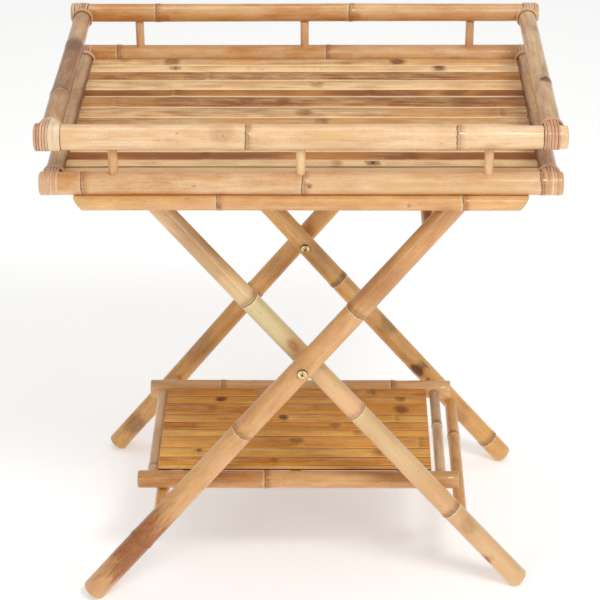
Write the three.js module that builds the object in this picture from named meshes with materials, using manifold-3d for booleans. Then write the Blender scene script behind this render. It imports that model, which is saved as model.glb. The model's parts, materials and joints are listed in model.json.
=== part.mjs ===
// Folding bamboo tray table: a lift-off tray with a slatted deck, standing on a scissor stand
// of two crossed leg frames, with a slatted shelf pinned between the inner legs.
// Millimetres. +X runs along the tray, +Y from the front to the back, +Z up.
// The origin is on the floor, under the middle of the tray.

import * as THREE from "three";
import { mergeVertices } from "three/addons/utils/BufferGeometryUtils.js";
import Module from "manifold-3d";

const wasm = await Module();
wasm.setup();

// ---- driving dimensions ----

const GAP = 0.3; // between pieces that touch
const POLE_SIDES = 20;
const THIN_SIDES = 14;

// tray
const TRAY_LENGTH = 600; // over the ends of the long rails
const RAIL_Y = 186; // middle of the front and back rails
const SIDE_RAIL_X = 284; // middle of the two side rails
const UPPER_RAIL_Z = 663;
const LOWER_RAIL_Z = 605;
const UPPER_RADIUS = { front: [15, 13.4], back: [12, 11.6], side: [12, 10.9] };
const LOWER_RADIUS = { front: [12.8, 12.8], back: [12, 12], side: [11.5, 10.9] };
const LOWER_RAIL_LENGTH = 596;
const BALUSTER_RADIUS = 5.6;
const BALUSTER_SPACING = 213;
const LASHING_THICKNESS = 2;
const LASHING_WIDTH = 30;
// split from whole culms, so no two slats are alike; front to back, joints included
const DECK_SLAT_WIDTHS = [28.5, 16, 24, 24.5, 24.5, 24, 21.5, 29, 31.5, 22.5, 26.5, 29.5, 19.5, 23.5];
const DECK_HALF_WIDTH = 172.5;
const DECK_HALF_LENGTH = 271.5;
const DECK_TOP = 607.5;
const DECK_BOTTOM = 598.3;
const SLAT_JOINT = 0.6; // open joint between neighbouring slats
const BATTEN_WIDTH = 22;
const BATTEN_X = 188;
const BATTEN_BOTTOM = 589.7;
const RUNNER_RADIUS = 9.1;
const RUNNER_Y = 196;
const RUNNER_Z = 585.2;
const RUNNER_LENGTH = 520;
const RUNNER_BEVEL = 12; // how far its slanted ends lean in

// stand
const PIVOT_Z = 348;
const OUTER_TILT = THREE.MathUtils.degToRad(38.7); // tops towards +X
const INNER_TILT = THREE.MathUtils.degToRad(-39.3); // tops towards -X
const OUTER_LEG_Y = 171;
const INNER_LEG_Y = 142.5;
const LEG_TOP = 589.4;
const FOOT_FLAT = 2; // depth worn off the lowest edge of a foot
const LEG_RADIUS = {
  outer_front: [13.2, 15.6],
  outer_back: [12.8, 13.4],
  inner_front: [12, 13.8],
  inner_back: [13, 13.6],
};
const CROSSBAR_RADIUS = 8.3;
const MORTISE_INSET = 3; // from the leg's centre line to the end of the crossbar in its hole
const OUTER_BARS = { upper: 238, lower: -293 }; // along the legs, from the pivot
const INNER_BARS = { upper: 264, lower: -319 };
const BOLT_RADIUS = 3;
const BOLT_HEAD_RADIUS = 6.4;
const BOLT_HEAD_HEIGHT = 3.2;
const NUT_RADIUS = 5.6;
const NUT_HEIGHT = 4.4;

// shelf
const SHELF_Z = 140.5;
const SHELF_POLE_Y = { front: -110.5, back: 105.5 };
const SHELF_POLE_RADIUS = { front: 11.6, back: 12.6 };
const SHELF_POLE_ENDS = [-214, 199];
const SHELF_SIDE_X = [-196, 176.5];
const SHELF_SIDE_RADIUS = 7.2;
const SHELF_SLAT_WIDTHS = [9, 18, 21, 27, 16, 17.4, 19, 27, 18, 20]; // front to back
const SHELF_DECK_X = [-187, 164.5];
const SHELF_DECK_Y = [-99, 93.4];
const SHELF_DECK_TOP = 151;
const SHELF_SLAT_THICKNESS = 5;
const SHELF_BATTEN_X = [-150, -11, 128];
const PIN_RADIUS = 2.5;
const PIN_DEPTH = 4; // how far a pin runs past the centre line of the leg and of the pole

// ---- finishes ----

const finish = (color, roughness, metalness = 0) =>
  new THREE.MeshStandardMaterial({ color, roughness, metalness });
const PALE_BAMBOO = finish(0xe3c48f, 0.4);
const GOLD_BAMBOO = finish(0xcf9f62, 0.42);
const BROWN_BAMBOO = finish(0xb98a55, 0.45);
const DECK_BAMBOO = finish(0xc79a58, 0.32);
const SHELF_BAMBOO = finish(0xb97a3e, 0.36);
const RATTAN = finish(0xd9a878, 0.5);
const BRASS = finish(0xb08a45, 0.35, 0.9);
const STEEL = finish(0x9a9a98, 0.4, 0.9);

// ---- helpers ----

const table = new THREE.Group();

function piece(parent, name, geometry, look) {
  const mesh = new THREE.Mesh(geometry, look);
  mesh.name = name;
  parent.add(mesh);
  return mesh;
}

// A closed geometry as a solid that can be cut and joined.
function solid(geometry) {
  const bare = geometry.clone();
  bare.deleteAttribute("normal");
  bare.deleteAttribute("uv");
  const welded = mergeVertices(bare, 1e-4);
  return new wasm.Manifold(
    new wasm.Mesh({
      numProp: 3,
      vertProperties: new Float32Array(welded.attributes.position.array),
      triVerts: new Uint32Array(welded.index.array),
    }),
  );
}

function toGeometry(body) {
  const mesh = body.getMesh();
  const geometry = new THREE.BufferGeometry();
  geometry.setAttribute("position", new THREE.BufferAttribute(mesh.vertProperties, 3));
  geometry.setIndex(new THREE.BufferAttribute(mesh.triVerts, 1));
  geometry.computeVertexNormals();
  return geometry;
}

function cut(geometry, ...tools) {
  let body = solid(geometry);
  for (const tool of tools) {
    body = body.subtract(solid(tool));
  }
  return toGeometry(body);
}

function joined(...geometries) {
  const bodies = geometries.map(solid);
  return toGeometry(bodies.reduce((sum, body) => sum.add(body)));
}

// Poles between two stations on one axis; radii are given at the first and the last station.
function poleAlongX(x0, x1, y, z, r0, r1 = r0, sides = POLE_SIDES) {
  const geometry = new THREE.CylinderGeometry(r1, r0, x1 - x0, sides);
  return geometry.rotateZ(-Math.PI / 2).translate((x0 + x1) / 2, y, z);
}

function poleAlongY(y0, y1, x, z, r0, r1 = r0, sides = POLE_SIDES) {
  const geometry = new THREE.CylinderGeometry(r1, r0, y1 - y0, sides);
  return geometry.translate(x, (y0 + y1) / 2, z);
}

// An even rod between two stations along Y, given in either order.
function rodAlongY(ya, yb, x, z, radius, sides = THIN_SIDES) {
  return poleAlongY(Math.min(ya, yb), Math.max(ya, yb), x, z, radius, radius, sides);
}

function poleAlongZ(z0, z1, x, y, r0, r1 = r0, sides = POLE_SIDES) {
  const geometry = new THREE.CylinderGeometry(r1, r0, z1 - z0, sides);
  return geometry.rotateX(Math.PI / 2).translate(x, y, (z0 + z1) / 2);
}

const mean = (pair) => (pair[0] + pair[1]) / 2;
const withGap = (radii) => [radii[0] + GAP, radii[1] + GAP];

// ---- tray ----

const tray = new THREE.Group();
table.add(tray);

// The long rails as bodies, or as the slightly larger tools that cope the pieces meeting them.
function longRail(level, side, clearance) {
  const upper = level === "upper";
  const radii = (upper ? UPPER_RADIUS : LOWER_RADIUS)[side];
  const [r0, r1] = clearance ? withGap(radii) : radii;
  const half = (upper ? TRAY_LENGTH : LOWER_RAIL_LENGTH) / 2;
  const y = side === "front" ? -RAIL_Y : RAIL_Y;
  return poleAlongX(-half, half, y, upper ? UPPER_RAIL_Z : LOWER_RAIL_Z, r0, r1);
}

for (const level of ["upper", "lower"]) {
  const z = level === "upper" ? UPPER_RAIL_Z : LOWER_RAIL_Z;
  const radii = level === "upper" ? UPPER_RADIUS : LOWER_RADIUS;
  const half = (level === "upper" ? TRAY_LENGTH : LOWER_RAIL_LENGTH) / 2;
  for (const side of ["front", "back"]) {
    const look = side === "front" ? PALE_BAMBOO : GOLD_BAMBOO;
    piece(tray, `tray_${level}_rail_${side}`, longRail(level, side, false), look);
  }
  // The side rails are coped to sit against the long rails.
  for (const [side, x] of [["left", -SIDE_RAIL_X], ["right", SIDE_RAIL_X]]) {
    const rail = poleAlongY(-RAIL_Y, RAIL_Y, x, z, ...radii.side);
    const coped = cut(rail, longRail(level, "front", true), longRail(level, "back", true));
    piece(tray, `tray_${level}_rail_${side}`, coped, BROWN_BAMBOO);
  }
  // Each corner is lashed: a band round the long rail's end, open where the side rail meets it.
  for (const [side, y, facing] of [["front", -RAIL_Y, 0], ["back", RAIL_Y, Math.PI]]) {
    for (const [end, direction] of [["left", -1], ["right", 1]]) {
      const inner = radii[side][direction < 0 ? 0 : 1] + GAP;
      const outer = inner + LASHING_THICKNESS;
      const sideRadius = radii.side[side === "front" ? 0 : 1];
      const opening = Math.asin((sideRadius + 2 * GAP) / inner);
      const start = facing + opening;
      const stop = facing + 2 * Math.PI - opening;
      const outline = new THREE.Shape();
      outline.absarc(0, 0, outer, start, stop, false);
      outline.absarc(0, 0, inner, stop, start, true);
      outline.closePath();
      const band = new THREE.ExtrudeGeometry(outline, {
        depth: LASHING_WIDTH,
        bevelEnabled: false,
        curveSegments: 16,
      });
      // the outline's plane becomes YZ and its depth runs along X
      band.rotateX(Math.PI / 2).rotateZ(Math.PI / 2);
      const from = direction < 0 ? -half + 1 : half - 1 - LASHING_WIDTH;
      piece(tray, `lashing_${level}_${side}_${end}`, band.translate(from, y, z), RATTAN);
    }
  }
}

for (const [side, y] of [["front", -RAIL_Y], ["back", RAIL_Y]]) {
  for (const [position, step] of [["left", -1], ["middle", 0], ["right", 1]]) {
    const x = step * BALUSTER_SPACING;
    const post = poleAlongZ(LOWER_RAIL_Z, UPPER_RAIL_Z, x, y, BALUSTER_RADIUS, BALUSTER_RADIUS, THIN_SIDES);
    const coped = cut(post, longRail("lower", side, true), longRail("upper", side, true));
    piece(tray, `tray_post_${side}_${position}`, coped, PALE_BAMBOO);
  }
}

// A split-cane slat lying along X: flat below, crowned above with a flat land in the middle.
function slat(x0, x1, y0, y1, bottom, top) {
  const edge = bottom + 0.62 * (top - bottom);
  const shoulder = 0.22 * (y1 - y0);
  const profile = new THREE.Shape([
    new THREE.Vector2(y0, bottom),
    new THREE.Vector2(y1, bottom),
    new THREE.Vector2(y1, edge),
    new THREE.Vector2(y1 - shoulder, top),
    new THREE.Vector2(y0 + shoulder, top),
    new THREE.Vector2(y0, edge),
  ]);
  const strip = new THREE.ExtrudeGeometry(profile, { depth: x1 - x0, bevelEnabled: false });
  // the profile's plane becomes YZ and its depth runs along X
  return strip.rotateX(Math.PI / 2).rotateZ(Math.PI / 2).translate(x0, 0, 0);
}

// Slats laid side by side from front to back, each cut short of its width by the open joint.
function slatRow(widths, front, x0, x1, bottom, top) {
  let y = front;
  return widths.map((width) => {
    const strip = slat(x0, x1, y + SLAT_JOINT / 2, y + width - SLAT_JOINT / 2, bottom, top);
    y += width;
    return strip;
  });
}

const deckSpan = [-DECK_HALF_LENGTH, DECK_HALF_LENGTH];
slatRow(DECK_SLAT_WIDTHS, -DECK_HALF_WIDTH, ...deckSpan, DECK_BOTTOM, DECK_TOP).forEach((strip, i) => {
  piece(tray, `deck_slat_${String(i + 1).padStart(2, "0")}`, strip, DECK_BAMBOO);
});

for (const [position, step] of [["left", -1], ["middle", 0], ["right", 1]]) {
  const height = DECK_BOTTOM - GAP - BATTEN_BOTTOM;
  const batten = new THREE.BoxGeometry(BATTEN_WIDTH, 2 * (DECK_HALF_WIDTH - 2), height);
  batten.translate(step * BATTEN_X, 0, BATTEN_BOTTOM + height / 2);
  const coped = cut(batten, longRail("lower", "front", true), longRail("lower", "back", true));
  piece(tray, `deck_batten_${position}`, coped, BROWN_BAMBOO);
}

// The runners hang under the long rails and keep the tray over the stand. Their ends are
// cut on a slant, longer above than below.
for (const [side, y] of [["front", -RUNNER_Y], ["back", RUNNER_Y]]) {
  const half = RUNNER_LENGTH / 2;
  const runner = poleAlongX(-half, half, y, RUNNER_Z, RUNNER_RADIUS);
  const lean = Math.atan2(RUNNER_BEVEL, 2 * RUNNER_RADIUS);
  const cutters = [-1, 1].map((end) => {
    const block = new THREE.BoxGeometry(60, 60, 60).translate(end * 30, 0, 0);
    block.rotateY(end * lean);
    return block.translate(end * (half - RUNNER_BEVEL / 2), y, RUNNER_Z);
  });
  piece(tray, `tray_runner_${side}`, cut(runner, ...cutters), GOLD_BAMBOO);
}

// ---- stand ----

// A leg frame's group stands on the pivot and is tilted, so its legs run along its own Z.
function legFrame(tilt) {
  const frame = new THREE.Group();
  frame.position.set(0, 0, PIVOT_Z);
  frame.rotation.y = tilt;
  table.add(frame);
  return frame;
}

const outerFrame = legFrame(OUTER_TILT);
const innerFrame = legFrame(INNER_TILT);

function legEnds(tilt, radii) {
  const foot = -(PIVOT_Z + FOOT_FLAT - radii[1] * Math.sin(Math.abs(tilt))) / Math.cos(tilt);
  const head = (LEG_TOP - PIVOT_Z) / Math.cos(tilt) + radii[0] * Math.tan(Math.abs(tilt));
  return { foot, head };
}

function legRadius(tilt, radii, station) {
  const { foot, head } = legEnds(tilt, radii);
  return THREE.MathUtils.mapLinear(station, foot, head, radii[1], radii[0]);
}

// A big block above or below a level plane, turned into a tilted frame's own axes.
function levelBlock(tilt, level, above) {
  const depth = 100;
  const block = new THREE.BoxGeometry(1200, 200, depth);
  block.translate(0, 0, level - PIVOT_Z + (above ? depth / 2 : -depth / 2));
  return block.rotateY(-tilt);
}

// The legs are sawn level on top, square at the foot with a small flat to stand on, drilled
// for the pivot bolt, and mortised on their inner side for the crossbars.
function leg(tilt, radii, y, bars, pinStation) {
  const { foot, head } = legEnds(tilt, radii);
  const blank = poleAlongZ(foot, head, 0, 0, radii[1], radii[0]);
  const inward = -Math.sign(y);
  const outside = 30 * inward; // well past the leg's inner face
  const tools = [levelBlock(tilt, LEG_TOP, true), levelBlock(tilt, 0, false)];
  tools.push(rodAlongY(-outside, outside, 0, 0, BOLT_RADIUS + GAP));
  for (const station of Object.values(bars)) {
    const floor = inward * (MORTISE_INSET - GAP);
    tools.push(rodAlongY(floor, outside, 0, station, CROSSBAR_RADIUS + GAP, POLE_SIDES));
  }
  if (pinStation !== undefined) {
    const floor = -inward * (PIN_DEPTH + GAP);
    tools.push(rodAlongY(floor, outside, 0, pinStation, PIN_RADIUS + GAP));
  }
  return cut(blank, ...tools).translate(0, y, 0);
}

function crossbar(frame, name, legY, station, look) {
  const end = legY - MORTISE_INSET;
  piece(frame, name, poleAlongY(-end, end, 0, station, CROSSBAR_RADIUS), look);
}

const pinStation = -(PIVOT_Z - SHELF_Z) / Math.cos(INNER_TILT);
const frontLeg = leg(OUTER_TILT, LEG_RADIUS.outer_front, -OUTER_LEG_Y, OUTER_BARS);
const backLeg = leg(OUTER_TILT, LEG_RADIUS.outer_back, OUTER_LEG_Y, OUTER_BARS);
piece(outerFrame, "outer_leg_front", frontLeg, GOLD_BAMBOO);
piece(outerFrame, "outer_leg_back", backLeg, BROWN_BAMBOO);
crossbar(outerFrame, "outer_crossbar_upper", OUTER_LEG_Y, OUTER_BARS.upper, BROWN_BAMBOO);
crossbar(outerFrame, "outer_crossbar_lower", OUTER_LEG_Y, OUTER_BARS.lower, BROWN_BAMBOO);

const innerFront = leg(INNER_TILT, LEG_RADIUS.inner_front, -INNER_LEG_Y, INNER_BARS, pinStation);
const innerBack = leg(INNER_TILT, LEG_RADIUS.inner_back, INNER_LEG_Y, INNER_BARS, pinStation);
piece(innerFrame, "inner_leg_front", innerFront, PALE_BAMBOO);
piece(innerFrame, "inner_leg_back", innerBack, BROWN_BAMBOO);
crossbar(innerFrame, "inner_crossbar_upper", INNER_LEG_Y, INNER_BARS.upper, BROWN_BAMBOO);
crossbar(innerFrame, "inner_crossbar_lower", INNER_LEG_Y, INNER_BARS.lower, BROWN_BAMBOO);

// Each pivot is a round-headed bolt through both legs with a nut at its far end. Both bolts
// point back, so the front head shows on the outer leg and the back head on the inner one.
function boltProfile(length) {
  const rim = BOLT_HEAD_HEIGHT * 0.45;
  const points = [
    new THREE.Vector2(0, 0),
    new THREE.Vector2(BOLT_HEAD_RADIUS * 0.6, 0.35),
    new THREE.Vector2(BOLT_HEAD_RADIUS, rim),
    new THREE.Vector2(BOLT_HEAD_RADIUS, BOLT_HEAD_HEIGHT),
    new THREE.Vector2(BOLT_RADIUS, BOLT_HEAD_HEIGHT),
    new THREE.Vector2(BOLT_RADIUS, BOLT_HEAD_HEIGHT + length),
    new THREE.Vector2(0, BOLT_HEAD_HEIGHT + length),
  ];
  return new THREE.LatheGeometry(points, THIN_SIDES * 2);
}

const pivots = new THREE.Group();
pivots.position.set(0, 0, PIVOT_Z);
table.add(pivots);

function pivotBolt(side, faceY, farY) {
  const grip = farY - faceY;
  const tail = NUT_HEIGHT + 1;
  // the lathe's own axis is Y, so the bolt already points towards +Y
  const bolt = boltProfile(grip + 2 * GAP + tail);
  bolt.translate(0, faceY - GAP - BOLT_HEAD_HEIGHT, 0);
  piece(pivots, `pivot_bolt_${side}`, bolt, BRASS);
  const nut = rodAlongY(0, NUT_HEIGHT, 0, 0, NUT_RADIUS, 6);
  const thread = rodAlongY(-1, NUT_HEIGHT + 1, 0, 0, BOLT_RADIUS + GAP);
  piece(pivots, `pivot_nut_${side}`, cut(nut, thread).translate(0, farY + GAP, 0), STEEL);
}

const pivotRadius = {
  outer_front: legRadius(OUTER_TILT, LEG_RADIUS.outer_front, 0),
  outer_back: legRadius(OUTER_TILT, LEG_RADIUS.outer_back, 0),
  inner_front: legRadius(INNER_TILT, LEG_RADIUS.inner_front, 0),
  inner_back: legRadius(INNER_TILT, LEG_RADIUS.inner_back, 0),
};
pivotBolt("front", -OUTER_LEG_Y - pivotRadius.outer_front, -INNER_LEG_Y + pivotRadius.inner_front);
pivotBolt("back", INNER_LEG_Y - pivotRadius.inner_back, OUTER_LEG_Y + pivotRadius.outer_back);

// ---- shelf ----

const shelf = new THREE.Group();
table.add(shelf);
const hingeX = (PIVOT_Z - SHELF_Z) * Math.tan(-INNER_TILT);

// The shelf hangs on two plain pins let into the inner legs and the shelf's poles.
for (const [side, sign] of [["front", -1], ["back", 1]]) {
  const inLeg = sign * (INNER_LEG_Y + PIN_DEPTH);
  const inPole = SHELF_POLE_Y[side] - sign * PIN_DEPTH;
  piece(table, `shelf_pin_${side}`, rodAlongY(inLeg, inPole, hingeX, SHELF_Z, PIN_RADIUS), STEEL);
}

function shelfPole(side, clearance) {
  const radius = SHELF_POLE_RADIUS[side] + clearance;
  return poleAlongX(...SHELF_POLE_ENDS, SHELF_POLE_Y[side], SHELF_Z, radius);
}

for (const [side, sign] of [["front", -1], ["back", 1]]) {
  const y = SHELF_POLE_Y[side];
  const bottom = y - sign * (PIN_DEPTH + GAP);
  const bore = rodAlongY(bottom, y + sign * 30, hingeX, SHELF_Z, PIN_RADIUS + GAP);
  piece(shelf, `shelf_pole_${side}`, cut(shelfPole(side, 0), bore), GOLD_BAMBOO);
}

for (const [side, x] of [["left", SHELF_SIDE_X[0]], ["right", SHELF_SIDE_X[1]]]) {
  const rail = poleAlongY(SHELF_POLE_Y.front, SHELF_POLE_Y.back, x, SHELF_Z, SHELF_SIDE_RADIUS);
  const coped = cut(rail, shelfPole("front", GAP), shelfPole("back", GAP));
  piece(shelf, `shelf_rail_${side}`, coped, PALE_BAMBOO);
}

// The shelf's thin slats are fixed to three battens and lie between its poles as one mat.
const slatBottom = SHELF_DECK_TOP - SHELF_SLAT_THICKNESS;
const mat = slatRow(SHELF_SLAT_WIDTHS, SHELF_DECK_Y[0], ...SHELF_DECK_X, slatBottom, SHELF_DECK_TOP);
for (const x of SHELF_BATTEN_X) {
  const batten = new THREE.BoxGeometry(14, SHELF_DECK_Y[1] - SHELF_DECK_Y[0] - 8, 5.5);
  mat.push(batten.translate(x, mean(SHELF_DECK_Y), slatBottom - 2.25));
}
piece(shelf, "shelf_slat_mat", joined(...mat), SHELF_BAMBOO);

export default table;
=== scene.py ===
# %% [markdown]
# # A folding bamboo tray table
#
# The table is a slatted tray that lifts off a scissor stand. Two leg frames cross at a pair of
# bolts, and a small slatted shelf hangs between the inner legs. Nearly everything is bamboo, so
# the lesson is about one thing done well: a culm, which is a whole bamboo stem with its nodes,
# its faint taper, its grooves and its waxy, streaky skin.
#
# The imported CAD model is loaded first. It fixes every size and place, and each piece made here
# takes its position from it.

import bisect
import json
import math
import random

import bmesh
import bpy
from mathutils import Matrix, Vector


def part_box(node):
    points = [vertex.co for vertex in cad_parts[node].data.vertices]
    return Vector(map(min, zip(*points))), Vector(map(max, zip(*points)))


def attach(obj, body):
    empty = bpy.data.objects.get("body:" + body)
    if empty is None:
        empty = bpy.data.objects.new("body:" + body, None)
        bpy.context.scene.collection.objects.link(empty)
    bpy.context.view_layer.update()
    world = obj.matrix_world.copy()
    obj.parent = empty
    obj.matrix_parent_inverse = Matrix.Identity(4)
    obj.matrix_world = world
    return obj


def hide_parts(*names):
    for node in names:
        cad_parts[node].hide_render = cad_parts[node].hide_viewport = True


MM = 0.001

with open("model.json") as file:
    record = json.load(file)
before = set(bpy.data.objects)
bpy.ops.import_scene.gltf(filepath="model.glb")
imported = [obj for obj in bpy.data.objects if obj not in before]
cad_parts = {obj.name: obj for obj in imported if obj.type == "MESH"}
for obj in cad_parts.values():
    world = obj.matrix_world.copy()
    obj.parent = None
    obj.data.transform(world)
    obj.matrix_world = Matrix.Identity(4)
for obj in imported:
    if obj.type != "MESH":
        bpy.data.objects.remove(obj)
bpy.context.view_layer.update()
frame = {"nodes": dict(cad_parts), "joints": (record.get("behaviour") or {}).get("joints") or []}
PIVOT = Vector(frame["joints"][0]["pos_m"])

# %% [markdown]
# ## Camera, light and floor
#
# The table stands in a white studio. A long lens from some distance keeps the tray's sides
# nearly parallel. A key light high in front, a soft box on each side and one overhead draw thin
# highlights down the poles, as they would on lacquer, and the white world lifts the shadows.
# Small bright lamps would be simpler, but they leave hard spots and black shadows.

# %% Camera
CAMERA_PLACE = Vector((0.0346, -2.2196, 1.6300))
CAMERA_DOWN = math.radians(30.09)
CAMERA_TURN = math.radians(1.03)
CAMERA_ROLL = math.radians(-0.445)
CAMERA_LENS = 119.74
CAMERA_SENSOR = 36

scene = bpy.context.scene
scene.view_settings.view_transform = "Standard"

lens = bpy.data.cameras.new("camera")
lens.lens = CAMERA_LENS
lens.sensor_width = CAMERA_SENSOR
camera = bpy.data.objects.new("camera", lens)
scene.collection.objects.link(camera)
camera.matrix_world = (
    Matrix.Translation(CAMERA_PLACE)
    @ Matrix.Rotation(CAMERA_TURN, 4, "Z")
    @ Matrix.Rotation(math.pi / 2 - CAMERA_DOWN, 4, "X")
    @ Matrix.Rotation(CAMERA_ROLL, 4, "Z")
)
scene.camera = camera
print("lens", lens.lens, "mm")


# %% Soft boxes and the white world
def soft_box(name, place, target, size, watts):
    light = bpy.data.lights.new(name, "AREA")
    light.shape = "RECTANGLE"
    light.size, light.size_y = size
    light.energy = watts
    lamp = bpy.data.objects.new(name, light)
    lamp.location = place
    lamp.rotation_euler = (Vector(target) - Vector(place)).to_track_quat("-Z", "Y").to_euler()
    scene.collection.objects.link(lamp)


soft_box("key_light", (0.9, -1.4, 2.7), (0, 0, 0.4), (0.9, 0.5), 26)
soft_box("left_light", (-1.7, -2.0, 1.3), (0, 0, 0.3), (0.5, 1.2), 8)
soft_box("right_light", (2.0, -1.9, 1.2), (0, 0, 0.3), (0.5, 1.2), 9)
soft_box("top_light", (-0.3, 0.3, 2.8), (0, 0, 0.5), (1.6, 0.8), 11)

world = bpy.data.worlds.new("white_room")
world.use_nodes = True
world.node_tree.nodes["Background"].inputs["Color"].default_value = (1, 1, 1, 1)
world.node_tree.nodes["Background"].inputs["Strength"].default_value = 0.5
scene.world = world


# %% [markdown]
# ## Writing materials as sums
#
# Each finish is a small network of shader nodes. Wiring those up one socket at a time hides what
# the pattern does, so a little class wraps a socket: adding, multiplying or comparing two of them
# adds the Math node for it, and an expression reads like the recipe it is.

# %% One class for shader sums
class Paint:
    """One output of a material's nodes. Sums on it add Math nodes; add() puts in any other."""

    def __init__(self, tree, output=None):
        self.tree = tree
        self.output = output

    def add(self, kind, settings=None, sockets=None, output=0):
        """Adds a node: its settings first, then its sockets' values or links."""
        node = self.tree.nodes.new(kind)
        for key, value in (settings or {}).items():
            setattr(node, key, value)
        for key, value in (sockets or {}).items():
            if isinstance(value, Paint):
                self.tree.links.new(value.output, node.inputs[key])
            else:
                node.inputs[key].default_value = value
        return Paint(self.tree, node.outputs[output] if node.outputs else None)

    def math(self, operation, *values):
        return self.add("ShaderNodeMath", {"operation": operation}, dict(enumerate(values)))

    def __add__(self, other):
        return self.math("ADD", self, other)

    __radd__ = __add__

    def __sub__(self, other):
        return self.math("SUBTRACT", self, other)

    def __rsub__(self, other):
        return self.math("SUBTRACT", other, self)

    def __mul__(self, other):
        return self.math("MULTIPLY", self, other)

    __rmul__ = __mul__

    def __abs__(self):
        return self.math("ABSOLUTE", self)

    def rise(self, low, high):
        """0 below low, 1 above high, and a smooth step between."""
        sockets = {"Value": self, "From Min": low, "From Max": high}
        return self.add("ShaderNodeMapRange", {"interpolation_type": "SMOOTHSTEP"}, sockets)

    def clamp(self):
        return self.add("ShaderNodeClamp", {}, {"Value": self})

    def read(self, name, output="Fac"):
        """A value that the mesh carries at its points."""
        return self.add("ShaderNodeAttribute", {"attribute_name": name}, {}, output)

    def scaled(self, factors):
        return self.add("ShaderNodeVectorMath", {"operation": "MULTIPLY"}, {0: self, 1: factors})

    def noise(self, scale, stretch=1.0, detail=2.0):
        """Clouds of 1/scale metres at this place; stretch below 1 draws them out along Z."""
        place = self.scaled((scale, scale, scale * stretch))
        sockets = {"Vector": place, "Scale": 1.0, "Detail": detail}
        return self.add("ShaderNodeTexNoise", {}, sockets, "Fac")

    def mix(self, share, under, over):
        """One colour laid over another."""
        return self.add("ShaderNodeMix", {"data_type": "RGBA"}, {0: share, 6: under, 7: over}, 2)


def colour(code):
    """A colour from its six hex digits, as the linear values that shaders work in."""
    shares = [int(code[k : k + 2], 16) / 255 for k in (0, 2, 4)]
    linear = [c / 12.92 if c <= 0.04045 else ((c + 0.055) / 1.055) ** 2.4 for c in shares]
    return (*linear, 1.0)


def blank(name):
    """A new material, emptied of nodes, and the Paint that fills it."""
    material = bpy.data.materials.new(name)
    material.use_nodes = True
    material.node_tree.nodes.clear()
    return material, Paint(material.node_tree)


def surface(paint, base, roughness, height, depth, **steady):
    """The Principled shader, with height as a relief of that depth in metres."""
    bump = {"Strength": 1.0, "Distance": depth, "Height": height}
    relief = paint.add("ShaderNodeBump", {}, bump)
    sockets = {"Base Color": base, "Roughness": roughness, "Normal": relief}
    sockets.update({key.replace("_", " "): value for key, value in steady.items()})
    shader = paint.add("ShaderNodeBsdfPrincipled", {}, sockets)
    paint.add("ShaderNodeOutputMaterial", {}, {"Surface": shader})


print("mid grey is", [round(c, 3) for c in colour("808080")[:3]], "to a shader")

# %% [markdown]
# ## The floor
#
# A pale seamless floor, wide enough that no view finds its edge. It has a very faint cloudiness,
# which keeps it from looking like paper.

# %% Floor
FLOOR_SIZE = 14.0
# a little light of its own, so that the sweep stays white without bleaching the bamboo
FLOOR_GLOW = 0.3


def floor_paint():
    material, paint = blank("pale_floor")
    place = paint.add("ShaderNodeTexCoord", {}, {}, "Object")
    clouds = place.noise(2.5, 1.0, 3.0)
    base = paint.mix(clouds, colour("fbfbfa"), colour("f7f7f6"))
    glow = {"Emission_Color": (1, 1, 1, 1), "Emission_Strength": FLOOR_GLOW}
    surface(paint, base, 0.62 + clouds * 0.1, clouds, 0.1 * MM, **glow)
    return material


def lay_floor():
    bm = bmesh.new()
    bmesh.ops.create_grid(bm, x_segments=8, y_segments=8, size=FLOOR_SIZE / 2)
    mesh = bpy.data.meshes.new("floor")
    bm.to_mesh(mesh)
    bm.free()
    mesh.materials.append(floor_paint())
    floor = bpy.data.objects.new("floor", mesh)
    scene.collection.objects.link(floor)


lay_floor()
print("floor", FLOOR_SIZE, "m wide")

# %% [markdown]
# ## Bamboo skin
#
# A bamboo culm has a hard, waxy skin over long fibres. Close up it shows fine hairs of darker
# fibre, broader strands, slow clouds of tan and cream, and small brown flecks. At each node there
# is a dark, slightly wavy line where the sheath was attached, with a softer one above it and a
# breath of pale wax below. Here and there is an eye, the scar of a branch, or a scorched patch
# from the flame that straightens the poles. A sawn end shows straw-coloured wood with dark dots.
#
# An image could hold all this, but it would have to be unwrapped for every pole. Here each mesh
# carries six values at its points instead, and the material works from them:
#
# - grain: the place inside the stem, with Z along the fibres
# - band: how far above the nearest node line the point is, in millimetres
# - mark: how strong that node line is, fading to nothing away from it
# - eye: how far along and across the nearest eye, patch or strip of painted shade is, in its own
#   radii, and its depth
# - tone: how aged this stretch between two nodes is, from 0 to 1
# - skin: 1 on the skin and 0 on sawn wood

# %% Bamboo, whole and split
NODE_LINE = colour("43260f")
WAX = colour("f2dfc0")
HAIR = colour("855424")
STRAW = colour("d9b982")
PITH = colour("86602f")


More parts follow.
